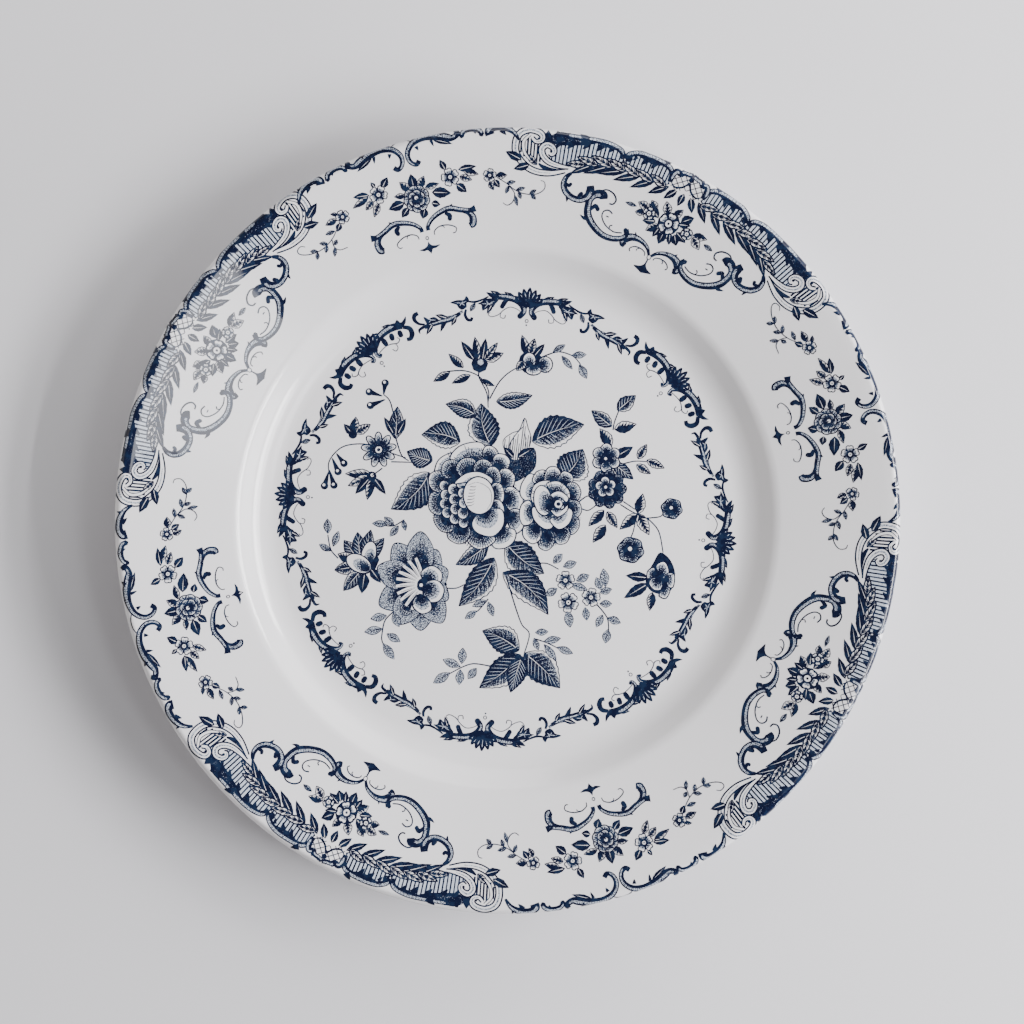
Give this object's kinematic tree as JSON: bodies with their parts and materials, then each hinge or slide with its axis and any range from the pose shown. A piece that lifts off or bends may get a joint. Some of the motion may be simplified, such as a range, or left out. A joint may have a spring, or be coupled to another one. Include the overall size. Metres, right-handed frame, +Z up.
{
  "type": "dinner plate",
  "caption": "Round glazed earthenware dinner plate: flat well, curved bouge, wide rising rim with a rounded lip and a foot ring; blue printed scroll border, wreath and bouquet.",
  "frame": {"origin": "centre of the plane that the foot ring stands on", "axes": "+Z up along the plate's axis of revolution, out of the well; X and Y lie in the table plane"},
  "size_m": [0.266, 0.266, 0.023],
  "materials": {
    "white_glaze": "clear glossy glaze over a cool white body",
    "cobalt_print": "cobalt blue line print under the same clear glossy glaze",
    "bare_foot": "unglazed fired body, matt, where the glaze is wiped off the foot"
  },
  "bodies": {
    "root": {"plate_body": "white_glaze"}
  },
  "joints": []
}
